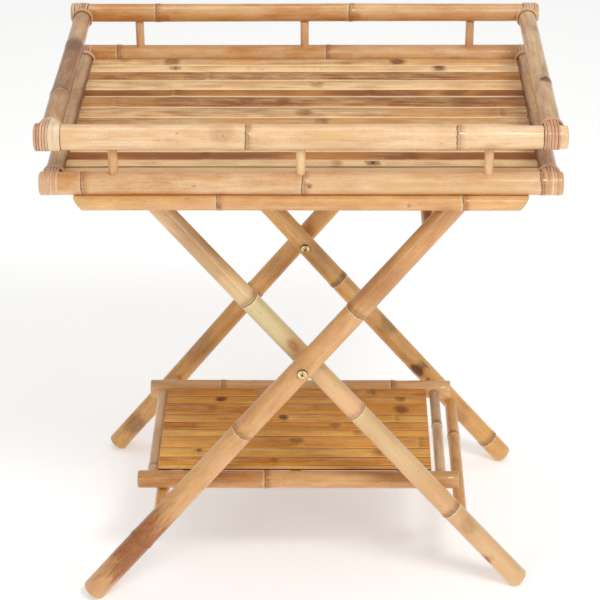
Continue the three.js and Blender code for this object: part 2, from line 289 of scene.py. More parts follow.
def bamboo(name, young, aged, flush, stain, sanding_and_highlight=None):
    """A bamboo finish between a young and an aged colour, with clouds of a third one. The
    last colour is for split slats, which show their fibres more and their node lines less; it is a
    light line along their rounded edges, partly sanded fibres and partly a painted highlight."""
    split = sanding_and_highlight is not None
    material, paint = blank(name)
    grain = paint.read("grain", "Vector")
    mark = paint.read("mark")
    skin = paint.read("skin")
    hairs = grain.noise(1250, 0.014)
    strands = grain.noise(420, 0.02, 3.0)
    mottle = grain.noise(120, 0.28, 3.0)
    clouds = grain.noise(42, 0.3)
    drift = grain.noise(15, 0.5)
    waver = grain.noise(210)
    specks = grain.noise(900, 0.25)

    fibrous = 1.1 if split else 0.45
    age = paint.read("tone") + (clouds - 0.5) * 0.8 + (mottle - 0.5) * 1.0
    age = age + (strands - 0.5) * fibrous + (specks - 0.5) * 0.5
    base = paint.mix(age.clamp(), colour(young), colour(aged))
    base = paint.mix(drift.rise(0.48, 0.66) * 0.55, base, colour(flush))
    base = paint.mix(hairs.rise(0.5, 0.72) * (0.42 if split else 0.2), base, HAIR)

    # the node: a dark line, a softer second one, and wax below them
    height = paint.read("band") + (waver - 0.5) * 3.0
    line = (1 - abs(height).rise(0.3, 0.9)) * (0.12 if split else 0.7)
    second = (1 - abs(height - 3.4).rise(0.3, 1.2)) * (0.05 if split else 0.25)
    wax = height.rise(-4.5, -2.0) - height.rise(-1.3, -0.6)
    halo = (height.rise(0.2, 1.2) - height.rise(3.0, 11.0)) * (clouds + strands) * mark
    base = paint.mix(wax.clamp() * mark * (0.1 if split else 0.35), base, WAX)
    base = paint.mix(halo.clamp() * (0.3 if split else 0.6), base, colour(stain))
    line = ((line + second) * mark.rise(0.0, 0.6)).clamp()
    base = paint.mix(line, base, NODE_LINE)

    # an eye, a scorched patch, and on the lower side rails a strip of painted shade; a depth above
    # 1 adds the dark core of an eye
    eye = paint.read("eye", "Vector")
    depth = paint.add("ShaderNodeSeparateXYZ", {}, {0: eye}, 2)
    away = paint.add("ShaderNodeVectorMath", {"operation": "LENGTH"}, {0: eye.scaled((1, 1, 0))}, 1)
    core = depth.rise(1.0, 1.05)
    ragged = away + (mottle - 0.5) * 1.5 + (strands - 0.5) * 0.6
    patch = (1 - ragged.rise(0.4, 1.15)) * (depth - core) * (0.45 + specks)
    rim = (1 - abs(ragged - 0.8).rise(0.02, 0.2)) * core * 0.4
    heart = (1 - (away + (waver - 0.5) * 0.4).rise(0.16, 0.3)) * core
    base = paint.mix(patch.clamp(), base, colour(stain))
    base = paint.mix((rim + heart).clamp() * 0.85, base, NODE_LINE)

    flecks = grain.noise(640, 0.3).rise(0.66, 0.71) * grain.noise(80, 0.5).rise(0.46, 0.6)
    base = paint.mix(flecks * 0.6, base, HAIR)

    # sawn wood; a slat also has a light line where its skin ends, partly sanded fibres and partly
    # painted highlight, and sides painted dark, partly stain and partly painted shade in the joint
    pores = grain.noise(2300).rise(0.52, 0.62)
    if split:
        base = paint.mix((skin * (1 - skin) * 3.2).clamp(), base, colour(sanding_and_highlight))
        side_stain_and_shade = paint.mix(pores * 0.6, HAIR, NODE_LINE)
        base = paint.mix((1 - skin).rise(0.6, 0.95), base, side_stain_and_shade)
    else:
        base = paint.mix(1 - skin, base, paint.mix(pores * 0.6, STRAW, PITH))

    roughness = 0.27 + mottle * 0.18 + (1 - skin) * 0.35 + flecks * 0.2 + patch.clamp() * 0.08
    relief = strands * 0.6 + hairs * 0.35 + mottle * 0.5 - line * 0.5 - heart * 0.8
    # slats are seen at a flat angle, where a full varnish would veil them in white
    varnish = {"Coat_Weight": 0.15 if split else 0.4, "Coat_Roughness": 0.11}
    varnish["Specular_IOR_Level"] = 0.22 if split else 0.5
    surface(paint, base, roughness, relief, 0.35 * MM, **varnish)
    return material


LOOKS = {
    "pale_bamboo": bamboo("pale_bamboo", "f2cea2", "c4833a", "e4b97c", "a25c22"),
    "gold_bamboo": bamboo("gold_bamboo", "eebb7e", "bb7a38", "e0a873", "985408"),
    "brown_bamboo": bamboo("brown_bamboo", "f8c27a", "bb8038", "dca254", "703e12"),
    "green_bamboo": bamboo("green_bamboo", "d8c38d", "e9b682", "d0a068", "9c5f28"),
    "side_bamboo": bamboo("side_bamboo", "ecc696", "96643c", "be8c5e", "62361e"),
    "deck_bamboo": bamboo("deck_bamboo", "f6ce98", "8d5122", "d4944c", "784314", "fde3b6"),
    "shelf_bamboo": bamboo("shelf_bamboo", "ffca70", "c4701f", "f0a03c", "753a0c", "f6c078"),
}
print(len(LOOKS), "kinds of bamboo")


# %% [markdown]
# ## Rattan, raw battens and metal
#
# The corners are bound with rattan peel, which is glossy and pinkish brown with fine lengthwise
# lines. A tone far beyond the oldest peel turns it nearly black, as painted shade for the gaps
# between two strips. The battens under the deck are unlacquered, so they are rougher and duller.
# The bolts are brass-coloured and the nuts and pins zinc grey, both with the faint smears of
# handled metal. A value at the bolts' points darkens a head's rim and its slot, as painted shade.

# %% Rattan peel
def rattan():
    material, paint = blank("rattan")
    grain = paint.read("grain", "Vector")
    lines = grain.noise(2100, 0.01)
    clouds = grain.noise(120, 0.2, 3.0)
    age = paint.read("tone") + (clouds - 0.5) * 0.9
    base = paint.mix(age.clamp(), colour("f3d6b0"), colour("c98a5e"))
    base = paint.mix(lines.rise(0.5, 0.7) * 0.3, base, colour("8d5a34"))
    # a tone above 1.6 turns the peel nearly black: painted shade for the bed and ring under the
    # strips
    base = paint.mix((age - 1.6).clamp(), base, colour("2c160a"))
    varnish = {"Coat_Weight": 0.4, "Coat_Roughness": 0.14}
    surface(paint, base, 0.28 + clouds * 0.15, lines, 0.2 * MM, **varnish)
    return material


LOOKS["rattan"] = rattan()
print("rattan:", len(LOOKS["rattan"].node_tree.nodes), "nodes")


# %% Unlacquered battens
def raw_bamboo():
    material, paint = blank("raw_bamboo")
    # the battens lie along Y, so their grain is drawn out that way
    place = paint.add("ShaderNodeTexCoord", {}, {}, "Object")
    fibres = place.scaled((1.0, 0.02, 1.0)).noise(900, 1.0, 3.0)
    clouds = place.scaled((1.0, 0.3, 1.0)).noise(60)
    base = paint.mix(clouds, colour("d2ae7c"), colour("a87c4b"))
    base = paint.mix(fibres.rise(0.5, 0.72) * 0.4, base, colour("76512c"))
    surface(paint, base, 0.6 + fibres * 0.2, fibres, 0.4 * MM)
    return material


LOOKS["raw_bamboo"] = raw_bamboo()
print("raw bamboo:", len(LOOKS["raw_bamboo"].node_tree.nodes), "nodes")


# %% Metals
def metal(name, bright, dull, shine):
    material, paint = blank(name)
    place = paint.add("ShaderNodeTexCoord", {}, {}, "Object")
    painted_shade = paint.read("painted_shade")
    smears = place.noise(420, 0.6, 3.0)
    specks = place.noise(2600)
    base = paint.mix(smears.rise(0.4, 0.65), colour(bright), colour(dull))
    # a bolt's rim and slot are painted dark as shade
    base = paint.mix(painted_shade * 0.9, base, colour("2a1407"))
    roughness = shine + smears * 0.22 + painted_shade * 0.4
    surface(paint, base, roughness, specks, 0.04 * MM, Metallic=1.0)
    return material


LOOKS["brass"] = metal("brass", "fbe2ae", "dcb67c", 0.26)
LOOKS["steel"] = metal("steel", "b9b8b4", "8c8a85", 0.26)
print("finishes:", ", ".join(sorted(LOOKS)))


# %% [markdown]
# ## Reading poles out of the frame
#
# A pole of the CAD model is a straight, slightly tapered rod. Its axis runs through the middle of
# its box, or through the pivot if it is a leg, so its two ends and its radius at each can be
# measured on its mesh. Everything made below starts from those four values.

# %% Measure a pole
X_AXIS, Y_AXIS, Z_AXIS = Vector((1, 0, 0)), Vector((0, 1, 0)), Vector((0, 0, 1))


def middle(node):
    low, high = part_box(node)
    return (low + high) / 2


def pole(node, along, through=None):
    """The two ends of a round CAD pole's axis, and its radius near each end."""
    centre = through or middle(node)
    spots = [v.co - centre for v in frame["nodes"][node].data.vertices]
    reach = [spot.dot(along) for spot in spots]
    first, last = min(reach), max(reach)
    near = 0.03 * (last - first)

    def radius(end):
        sides = [s - along * r for s, r in zip(spots, reach) if abs(r - end) < near]
        return max(side.length for side in sides)

    return centre + along * first, centre + along * last, radius(first), radius(last)


radii = pole("tray_upper_rail_front", X_AXIS)[2:]
print("front rail's radii", [round(radius / MM, 1) for radius in radii], "mm")


# %% [markdown]
# ## Turning a mesh into a piece
#
# Every piece ends the same way: doubles merged, faces turned outwards, edges at sawn ends kept
# crisp, a finish given, and the piece hung on the body that carries it. The CAD node that it
# stands for is hidden.

# %% Finish a piece
CRISP = math.radians(42)
WELD = 0.001 * MM


def make_piece(bm, name, look, body, stands_for):
    bmesh.ops.remove_doubles(bm, verts=bm.verts, dist=WELD)
    bmesh.ops.recalc_face_normals(bm, faces=bm.faces)
    mesh = bpy.data.meshes.new(name)
    bm.to_mesh(mesh)
    bm.free()
    mesh.materials.append(LOOKS[look])
    mesh.shade_smooth()
    mesh.set_sharp_from_angle(angle=CRISP)
    piece = bpy.data.objects.new(name, mesh)
    scene.collection.objects.link(piece)
    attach(piece, body)
    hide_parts(*stands_for)
    return piece


print("edges sharper than", round(math.degrees(CRISP)), "degrees stay crisp")

# %% [markdown]
# ## A culm
#
# A culm is a turned shape, so half its outline is drawn as a row of points and spun round the
# axis. The outline runs from the axis at one end, out over the sawn rim, along the skin and back
# to the axis at the other end. An open end is hollow, with a wall a third of the radius thick.
# The outline is dense only round the nodes, where the sheath scar is a thin sharp ring under a
# softer ridge.
#
# A plain spin looks like machined pipe. So each point is then moved a little: the section is
# slightly oval, the node lines are tilted and wavy, the stem kinks a touch at every node, and the
# stretch above each node has the shallow groove where a branch once pressed on it. The groove
# changes sides from node to node, as on the plant. Sculpting would do it too, but a rule can be
# repeated for thirty poles.

# %% Outline of a culm
SIDES = 36
# rings round a node line in millimetres, and round an eye in its own radii
NODE_STEPS = (
    -14, -9, -6, -4, -2.8, -2, -1.5, -1.1, -0.7, -0.3, 0.1, 0.5, 1, 1.7, 2.7, 4, 6, 9, 14, 22
)
EYE_STEPS = (-2.2, -1.6, -1.1, -0.6, -0.25, 0.0, 0.25, 0.6, 1.1, 1.6, 2.2)
PLAIN_STEP = 16 * MM
RIM = 1.3 * MM
HOLLOW_DEPTH = 26 * MM
WALL_SHARE = 0.34
# a stem is thinnest this far from its nodes, by this share of its radius
WAIST_REACH = 80 * MM
WAIST = 0.012


def node_relief(mm):
    """How far a node stands out this many millimetres above its line; 1 is the ridge's top."""
    ridge = math.exp(-(((mm - 2.4) / 3.2) ** 2))
    scar = 0.9 * math.exp(-(((mm + 0.9) / 0.6) ** 2))
    groove = 0.7 * math.exp(-((mm / 0.45) ** 2))
    return ridge + scar - groove


def skin_radius(z, length, radii, nodes, swell):
    plain = radii[0] + (radii[1] - radii[0]) * z / length
    relief = sum(node_relief((z - n) / MM) for n in nodes if abs(z - n) < 30 * MM)
    gap = min([abs(z - n) for n in nodes] + [WAIST_REACH])
    return plain * (1 - WAIST * gap / WAIST_REACH) + swell * relief


def rim_points(radius, hollow):
    """(height, radius) points from the axis out over a sawn end to the skin."""
    if hollow:
        bore = radius * (1 - WALL_SHARE)
        inside = [(HOLLOW_DEPTH, 0), (HOLLOW_DEPTH, bore * 0.8), (HOLLOW_DEPTH * 0.85, bore)]
        inside += [(RIM, bore), (0, bore + 0.5 * RIM)]
    else:
        inside = [(0, 0)]
    return inside + [(0, radius - RIM), (0.35 * RIM, radius - 0.4 * RIM), (RIM, radius)]


def eye_steps(eyes):
    """Heights at which an eye or patch needs a ring of points."""
    sizes = [(z, radius[0] if isinstance(radius, tuple) else radius) for z, _, radius, _ in eyes]
    return [z + radius * MM * step for z, radius in sizes for step in EYE_STEPS]


def culm_outline(length, radii, nodes, hollow, swell, eyes):
    def skin(z):
        return skin_radius(z, length, radii, nodes, swell)

    count = max(2, round(length / PLAIN_STEP))
    heights = [length * k / count for k in range(1, count)] + eye_steps(eyes)
    heights += [n + step * MM for n in nodes for step in NODE_STEPS]
    heights = sorted(z for z in heights if 2 * RIM < z < length - 2 * RIM)
    kept = [z for z, after in zip(heights, heights[1:] + [length]) if after - z > 0.15 * MM]
    foot = rim_points(skin(RIM), hollow[0])
    head = [(length - z, r) for z, r in reversed(rim_points(skin(length - RIM), hollow[1]))]
    return foot + [(z, skin(z)) for z in kept] + head


peak = max(NODE_STEPS, key=node_relief)
print("a node's ridge is highest", peak, "mm above its line")


# %% Spin it and mark its points
# how far an eye reaches, and over how much of that it fades out, in its own radii
EYE_REACH = 2.2
EYE_FADE = 0.5
# a node line's mark is whole within this many millimetres, and gone at twice as many
MARK_FADE = 20


def spin_outline(points, sides):
    """A solid of revolution about Z from (height, radius) points."""
    bm = bmesh.new()
    row = [bm.verts.new((radius, 0, z)) for z, radius in points]
    edges = [bm.edges.new(pair) for pair in zip(row, row[1:])]
    bmesh.ops.spin(
        bm, geom=row + edges, cent=(0, 0, 0), axis=(0, 0, 1), angle=2 * math.pi, steps=sides,
        use_merge=True, use_duplicate=False,
    )
    bmesh.ops.remove_doubles(bm, verts=bm.verts, dist=WELD)
    return bm


def within(share):
    """The share itself, kept between 0 and 1."""
    return max(0.0, min(1.0, share))


def anywhere(rng):
    """A random shift, so that no two pieces show the same part of the pattern."""
    return Vector([rng.uniform(0, 9) for _ in range(3)])


def mark_points(bm, nodes, marks, tones, eyes, across, skin_at, shift):
    """Writes the six values that the bamboo finish reads. nodes and eyes are heights along Z.
    tones has a lower and an upper value for each stretch. An eye's radius may be a pair, along
    and across. across gives a point's distance in millimetres round from an eye's side."""
    numbers, vectors = bm.verts.layers.float, bm.verts.layers.float_vector
    grain, eye = (vectors.new(name) for name in ("grain", "eye"))
    band, mark, tone, skin = (numbers.new(name) for name in ("band", "mark", "tone", "skin"))
    posts = [0.0, *nodes, max(v.co.z for v in bm.verts)]
    for v in bm.verts:
        z = v.co.z
        v[grain] = v.co + shift
        stretch = bisect.bisect(nodes, z)
        low, high = tones[stretch]
        share = (z - posts[stretch]) / (posts[stretch + 1] - posts[stretch])
        v[tone] = low + (high - low) * share
        v[skin] = skin_at(v.co)
        if nodes:
            near = min(range(len(nodes)), key=lambda k: abs(z - nodes[k]))
            v[band] = (z - nodes[near]) / MM
            v[mark] = marks[near] * within(2 - abs(v[band]) / MARK_FADE)
        nearest = math.inf
        for height, side, radius, depth in eyes:
            length, width = radius if isinstance(radius, tuple) else (radius, radius)
            along, over = (z - height) / MM / length, across(v.co, side) / width
            away = max(abs(along), abs(over))
            if away < nearest:
                nearest = away
                v[eye] = (along, over, depth * within((EYE_REACH - away) / EYE_FADE))


plain = culm_outline(0.3, (0.012, 0.011), [0.1, 0.2], (True, True), 0.5 * MM, [])
trial = spin_outline(plain, SIDES)
print("a plain culm of 300 mm has", len(trial.faces), "faces")
trial.free()

# %% Age it
TILT_REACH = 9 * MM
GROOVE_REACH = 110 * MM
GROOVE_WIDTH = 0.55
# how long the groove takes to set in above a node, and how far a node line wavers
GROOVE_START = 8 * MM
LINE_WAVE = 0.25 * MM


def culm(
    length, radii, nodes, seed, tone, hollow=(True, True), swell=0.55 * MM, groove=0.05, eyes=(),
    kink=0.35 * MM, strength=1.0, groove_side=None,
):
    """A culm standing on the origin along Z, with node lines at these heights in metres.
    tone is one value, or one or a pair for each stretch between nodes. eyes are (height, side
    in degrees, radius in millimetres, depth). groove_side is where the top stretch's groove is."""
    rng = random.Random(seed)
    nodes = sorted(nodes)
    bm = spin_outline(culm_outline(length, radii, nodes, hollow, swell, eyes), SIDES)
    if isinstance(tone, (int, float)):
        tone = [tone + rng.uniform(-0.14, 0.14) for _ in range(len(nodes) + 1)]
    tones = [value if isinstance(value, tuple) else (value, value) for value in tone]
    marks = [rng.uniform(0.45, 1.0) * strength for _ in nodes]
    shift = anywhere(rng)

    def on_skin(co):
        radius = skin_radius(co.z, length, radii, nodes, swell)
        return 1.0 if math.hypot(co.x, co.y) > radius - 0.3 * RIM else 0.0

    def round_from(co, side):
        turn = math.remainder(math.atan2(co.y, co.x) - math.radians(side), math.tau)
        return turn * radii[0] / MM

    mark_points(bm, nodes, marks, tones, eyes, round_from, on_skin, shift)
    leans = [
        (rng.uniform(0, math.tau), rng.uniform(0.03, 0.10), rng.uniform(0, math.tau))
        for _ in nodes
    ]
    first_side = rng.uniform(0, math.tau)
    if groove_side is not None:
        first_side = math.radians(groove_side) - math.pi * len(nodes)
    kinks = [Vector((rng.uniform(-1, 1), rng.uniform(-1, 1), 0)) * kink for _ in nodes]
    posts = [0.0, *nodes, length]
    bends = [Vector((0, 0, 0)), *kinks, Vector((0, 0, 0))]
    oval, oval_side = rng.uniform(0.004, 0.012), rng.uniform(0, math.tau)
    for v in bm.verts:
        x, y, z = v.co
        angle = math.atan2(y, x)
        stretch = bisect.bisect(nodes, z)
        grow = 1 + oval * math.cos(2 * (angle - oval_side))
        if stretch:
            above = z - nodes[stretch - 1]
            side = first_side + math.pi * stretch
            turn = math.remainder(angle - side, math.tau)
            fade = min(above / GROOVE_START, 1) * math.exp(-above / GROOVE_REACH)
            grow -= groove * fade * math.exp(-((turn / GROOVE_WIDTH) ** 2))
        lift = 0.0
        for n, (side, lean, phase) in zip(nodes, leans):
            fade = math.exp(-(((z - n) / TILT_REACH) ** 2))
            wave = LINE_WAVE * math.sin(3 * angle + phase)
            lift += fade * (lean * radii[0] * math.cos(angle - side) + wave)
        k = min(bisect.bisect(posts, z), len(posts) - 1)
        share = (z - posts[k - 1]) / (posts[k] - posts[k - 1])
        bend = bends[k - 1].lerp(bends[k], share)
        v.co = Vector((x * grow, y * grow, z + lift)) + bend
    return bm


# %% Put a culm in its place, saw it and cope it
# the strip of bare wood round a sawn face
SAWN_RIM = 0.35 * MM


def stand(bm, start, end):
    """Moves a shape that stands on the origin along Z to run from start towards end.
    Its X side comes to the front, or on top if it runs from front to back."""
    along = (end - start).normalized()
    face = Z_AXIS if abs(along.y) > 0.9 else -Y_AXIS
    face = (face - along * face.dot(along)).normalized()
    turn = Matrix((face, along.cross(face), along)).transposed().to_4x4()
    bmesh.ops.transform(bm, matrix=Matrix.Translation(start) @ turn, verts=bm.verts)


def saw(bm, point, outward, hollow):
    """Saws off what is beyond a plane and closes the cut, as a ring where the stem is hollow."""
    everything = bm.verts[:] + bm.edges[:] + bm.faces[:]
    bmesh.ops.bisect_plane(
        bm, geom=everything, dist=WELD, plane_co=point, plane_no=outward, clear_outer=True
    )
    rim = [edge for edge in bm.edges if edge.is_boundary]
    if hollow:
        cap = bmesh.ops.bridge_loops(bm, edges=rim)["faces"]
    else:
        cap = bmesh.ops.contextual_create(bm, geom=rim)["faces"]
    before = set(bm.verts)
    bmesh.ops.inset_region(bm, faces=cap, thickness=SAWN_RIM, use_even_offset=True)
    skin = bm.verts.layers.float["skin"]
    for v in set(bm.verts) - before:
        v[skin] = 0.0


def cope(bm, axis_point, radius, along):
    """Fits the end of a pole along Y or Z round a pole along X: points inside it move out."""
    across = 3 - along
    for v in bm.verts:
        off = v.co - axis_point
        if abs(off[across]) < radius:
            limit = math.sqrt(radius**2 - off[across] ** 2)
            if abs(off[along]) < limit:
                v.co[along] = axis_point[along] + math.copysign(limit, off[along])


trial = culm(0.3, (0.012, 0.011), [0.1, 0.2], 1, 0.3)
saw(trial, Vector((0, 0, 0.25)), Z_AXIS, False)
print("sawn at 250 mm, a culm is", round(max(v.co.z for v in trial.verts) / MM), "mm long")
trial.free()


# %% [markdown]
# ## The tray's poles
#
# The upper front rail is the thickest and palest culm of the table, and the back and side rails
# are thinner. The long rails run past the corners with sawn, hollow ends. The side rails, which
# are the handles, butt against them and are coped to fit. Each pole's nodes are listed along it,
# measured from the middle of the table, because two culms are never alike.

# %% Grow a culm in the place of a pole
# the visible skin stays this far inside the CAD radius, so that the nodes end up level with it
SLIM = 0.1 * MM


def slim(radii, by=SLIM):
    return [radius - by for radius in radii]


def grow(node, along, places, seed, tone, by=SLIM, **traits):
    """A culm in the place of a CAD pole, with its nodes at these millimetres along the table.
    Returns it with the two ends of its axis."""
    start, end, *radii = pole(node, along)
    heights = [place * MM - start.dot(along) for place in places]
    bm = culm((end - start).length, slim(radii, by), heights, seed, tone, **traits)
    stand(bm, start, end)
    return bm, start, end


print("skins lie", round(SLIM / MM, 2), "mm inside the CAD model's")

# %% Long rails and runners
RAIL_NODES = {
    "tray_upper_rail_front": (-62, 176),
    "tray_upper_rail_back": (-190, 58),
    "tray_lower_rail_front": (-249, 2, 272),
    "tray_lower_rail_back": (-242, 28),
    "tray_runner_front": (-95, 185),
    "tray_runner_back": (-170, 96),
}
RAIL_TONES = {
    "tray_upper_rail_front": (0.22, 0.24, 0.12),
    "tray_upper_rail_back": (0.85, 0.8, 0.7),
    "tray_lower_rail_front": (0.6, 0.52, 0.42, 0.6),
    "tray_lower_rail_back": (0.75, 0.7, 0.6),
    "tray_runner_front": (0.3, 0.4, 0.34),
    "tray_runner_back": (0.4, 0.45, 0.5),
}
RAIL_SWELL = {
    "tray_upper_rail_front": 0.8 * MM,
    "tray_runner_front": 0.25 * MM,
    "tray_runner_back": 0.25 * MM,
}
# eyes and stains on the rails: place along, side in degrees from the front down, radius, depth
RAIL_EYES = {
    "tray_upper_rail_front": [(213, 65, 15, 0.5), (-88, -50, 17, 0.35)],
    "tray_lower_rail_front": [(10, -12, 4.5, 1.5), (44, 80, 10, 0.4)],
    "tray_runner_front": [(-93, 5, 4, 1.4), (123, -5, 2.2, 1.4), (165, 70, 16, 0.4)],
    "tray_upper_rail_back": [(-180, 20, 9, 0.6), (66, 10, 8, 0.5)],
}
# the lower rails are full enough to close up to the runners beneath them
FULL = {"tray_lower_rail_front": -0.7 * MM, "tray_lower_rail_back": -0.7 * MM}
# how far a runner's slanted ends lean in
RUNNER_BEVEL = 12 * MM

for seed, (node, places) in enumerate(RAIL_NODES.items(), 10):
    start, end, radius, _ = pole(node, X_AXIS)
    runner = "runner" in node
    bm, start, end = grow(
        node, X_AXIS, places, seed, RAIL_TONES[node], FULL.get(node, SLIM),
        hollow=(not runner, not runner), swell=RAIL_SWELL.get(node, 0.5 * MM), groove=0.03,
        eyes=[(place * MM - start.x, *rest) for place, *rest in RAIL_EYES.get(node, [])],
    )
    for side, tip in ((-1, start), (1, end)) if runner else ():
        # longer above than below
        face = Vector((side * 2 * radius, 0, -RUNNER_BEVEL))
        saw(bm, tip - Vector((side * RUNNER_BEVEL / 2, 0, 0)), face, False)
    make_piece(bm, "culm_" + node, "gold_bamboo" if runner else "pale_bamboo", "tray", [node])
print(len(RAIL_NODES), "long rails and runners")

# %% Side rails and posts
SIDE_NODES = {
    "tray_upper_rail_left": (-75, 70),
    "tray_upper_rail_right": (-44,),
    "tray_lower_rail_left": (49,),
    "tray_lower_rail_right": (-10,),
}
SIDE_TONES = {
    "tray_upper_rail_left": (0.7, 0.85, 0.55),
    "tray_upper_rail_right": (0.42, 0.34),
    "tray_lower_rail_left": (0.5, 0.42),
    "tray_lower_rail_right": (0.62, 0.5),
}
# eyes as (metres from the front end, side in degrees from the top, radius, depth): a dark
# branch scar on the right rail, smoky patches on the left one, and a strip of painted shade along
# the sides of the lower rails where the deck's ends meet them
SIDE_EYES_AND_SHADE = {
    "tray_upper_rail_right": [(0.130, 20, 10, 0.95), (0.29, 60, 14, 0.4)],
    "tray_upper_rail_left": [(0.235, 0, 26, 0.6), (0.11, 10, 28, 0.35)],
    "tray_lower_rail_left": [(0.186, 78, (300, 8), 0.9)],
    "tray_lower_rail_right": [(0.186, -78, (300, 8), 0.9)],
}


def long_rail(level, side):
    start, _, first, last = pole(f"tray_{level}_rail_{side}", X_AXIS)
    return start, first, last


def rail_radius_at(level, side, x):
    """Radius of a long rail's visible skin over this x."""
    start, first, last = long_rail(level, side)
    share = (x - start.x) / (-2 * start.x)
    return first + (last - first) * share - SLIM


for seed, (node, places) in enumerate(SIDE_NODES.items(), 30):
    level = node.split("_")[1]
    bm, start, _ = grow(
        node, Y_AXIS, places, seed, SIDE_TONES[node], hollow=(False, False),
        eyes=SIDE_EYES_AND_SHADE.get(node, []), strength=0.5,
    )
    for side in ("front", "back"):
        cope(bm, long_rail(level, side)[0], rail_radius_at(level, side, start.x), along=1)
    make_piece(bm, "culm_" + node, "side_bamboo", "tray", [node])

# the back posts are all alike
POST_TONES = {"left": 0.55, "middle": 0.1, "right": 0.35}
BACK_POST_TONE = 0.4
for seed, side in enumerate(("front", "back"), 40):
    for position, tone in POST_TONES.items():
        node = f"tray_post_{side}_{position}"
        aged = tone if side == "front" else BACK_POST_TONE
        bm, start, _ = grow(node, Z_AXIS, [], f"{seed}{position}", aged, hollow=(False, False))
        for level in ("lower", "upper"):
            cope(bm, long_rail(level, side)[0], rail_radius_at(level, side, start.x), along=2)
        make_piece(bm, "culm_" + node, "pale_bamboo", "tray", [node])
print(len(SIDE_NODES), "side rails and", 2 * len(POST_TONES), "posts")


# %% [markdown]
# ## Split slats
#
# The deck is laid with strips split from wide culms. A strip is slightly crowned, because it was
# part of a round wall, its long edges are rounded by sanding, and where it crosses a node it
# swells a little and shows a planed, darker patch. No two have the same width.
#
# A strip is drawn like pulled dough: its section is a closed outline that is extruded from frame
# to frame along the strip. The same tool will draw the rattan later on.

# %% Draw an outline along a row of frames
def drawn(outline, frames, tone=None, seed=0):
    """A closed outline of (x, y) points extruded along placing matrices, closed at both ends.
    With a tone it also carries what the rattan finish reads."""
    bm = bmesh.new()
    if tone is not None:
        shift = anywhere(random.Random(seed))
        grain = bm.verts.layers.float_vector.new("grain")
        shade = bm.verts.layers.float.new("tone")
    ring = [bm.verts.new(frames[0] @ Vector((x, y, 0))) for x, y in outline]
    edges = [bm.edges.new(pair) for pair in zip(ring, ring[1:] + ring[:1])]
    bmesh.ops.contextual_create(bm, geom=edges)
    run = 0.0
    for before, after in zip([frames[0]] + frames, frames):
        if after is not before:
            made = bmesh.ops.extrude_edge_only(bm, edges=edges)["geom"]
            ring = [item for item in made if isinstance(item, bmesh.types.BMVert)]
            fresh = set(ring)
            edges = [e for v in ring for e in v.link_edges if set(e.verts) <= fresh]
            edges = list(dict.fromkeys(edges))
            bmesh.ops.transform(bm, matrix=after @ before.inverted(), verts=ring)
            run += (after.translation - before.translation).length
        home = after.inverted()
        for v in ring if tone is not None else ():
            place = home @ v.co
            v[grain] = Vector((place.x, place.y, run)) + shift
            v[shade] = tone
    bmesh.ops.contextual_create(bm, geom=edges)
    return bm


square = [(0, 0), (0.01, 0), (0.01, 0.01), (0, 0.01)]
trial = drawn(square, [Matrix.Translation((0, 0, z)) for z in (0, 0.05, 0.1)])
print("a square drawn along three frames has", len(trial.faces), "faces")
trial.free()

# %% Section and surface of a slat
SLAT_NODE_STEPS = (-40, -20, -10, -6, -3, 0, 3, 6, 10, 20, 40)
SLAT_PLAIN_STEPS = 22
CROWN_STEPS = 7


def slat_section(width, thickness, crown, edge):
    """Flat below, rounded long edges, and an even crown above."""
    half = width / 2
    shoulder = thickness - crown
    corner = [
        (edge * (1 - math.cos(a)), edge * math.sin(a)) for a in (0, math.pi / 6, math.pi / 3)
    ]
    right = [(half - 0.4 * MM, 0), (half, 0.5 * MM)]
    right += [(half - x, shoulder - edge + y) for x, y in corner]
    land = half - edge
    top = [land - 2 * land * k / CROWN_STEPS for k in range(CROWN_STEPS + 1)]
    crowned = [(x, shoulder + crown * (1 - (x / land) ** 2)) for x in top]
    left = [(-x, y) for x, y in reversed(right)]
    return right + crowned + left


def slat(length, width, thickness, nodes, eyes, seed, tone, crown=1.8 * MM, edge=2.0 * MM):
    """A split strip with its underside on the XZ plane, running along Z from the origin.
    eyes are (height in metres, place across in millimetres, radius in millimetres, depth)."""
    rng = random.Random(seed)
    heights = [length * k / SLAT_PLAIN_STEPS for k in range(SLAT_PLAIN_STEPS + 1)]
    heights += eye_steps(eyes)
    heights += [n + step * MM for n in nodes for step in SLAT_NODE_STEPS]
    heights = sorted({round(z, 4) for z in heights if 0 <= z < length} | {length})
    frames = [Matrix.Translation((0, 0, z)) for z in heights]
    bm = drawn(slat_section(width, thickness, crown, edge), frames)
    marks = [rng.uniform(0.1, 1.0) for _ in nodes]
    shift = anywhere(rng)
    tones = [(tone - 0.05, tone + rng.uniform(-0.1, 0.15)) for _ in range(len(nodes) + 1)]

    def on_skin(co):
        return within(1 + (co.y - thickness + crown) / edge)

    def across(co, over):
        return co.x / MM - over

    mark_points(bm, nodes, marks, tones, eyes, across, on_skin, shift)
    band, mark = (bm.verts.layers.float[name] for name in ("band", "mark"))
    wander = [rng.uniform(0, math.tau) for _ in range(3)]
    for v in bm.verts:
        x, y, z = v.co
        bulge = math.exp(-((v[band] / 7) ** 2)) * (0.3 + 0.4 * v[mark]) if nodes else 0.0
        wave = 0.18 * math.sin(19 * z + wander[0]) + 0.1 * math.sin(47 * z + wander[1])
        rise = (bulge + wave - 0.35) * MM * y / thickness
        narrow = 1 - 0.25 * MM / width * (1 + math.sin(13 * z + wander[2]))
        v.co = Vector((x * narrow, y + rise, z))
    return bm


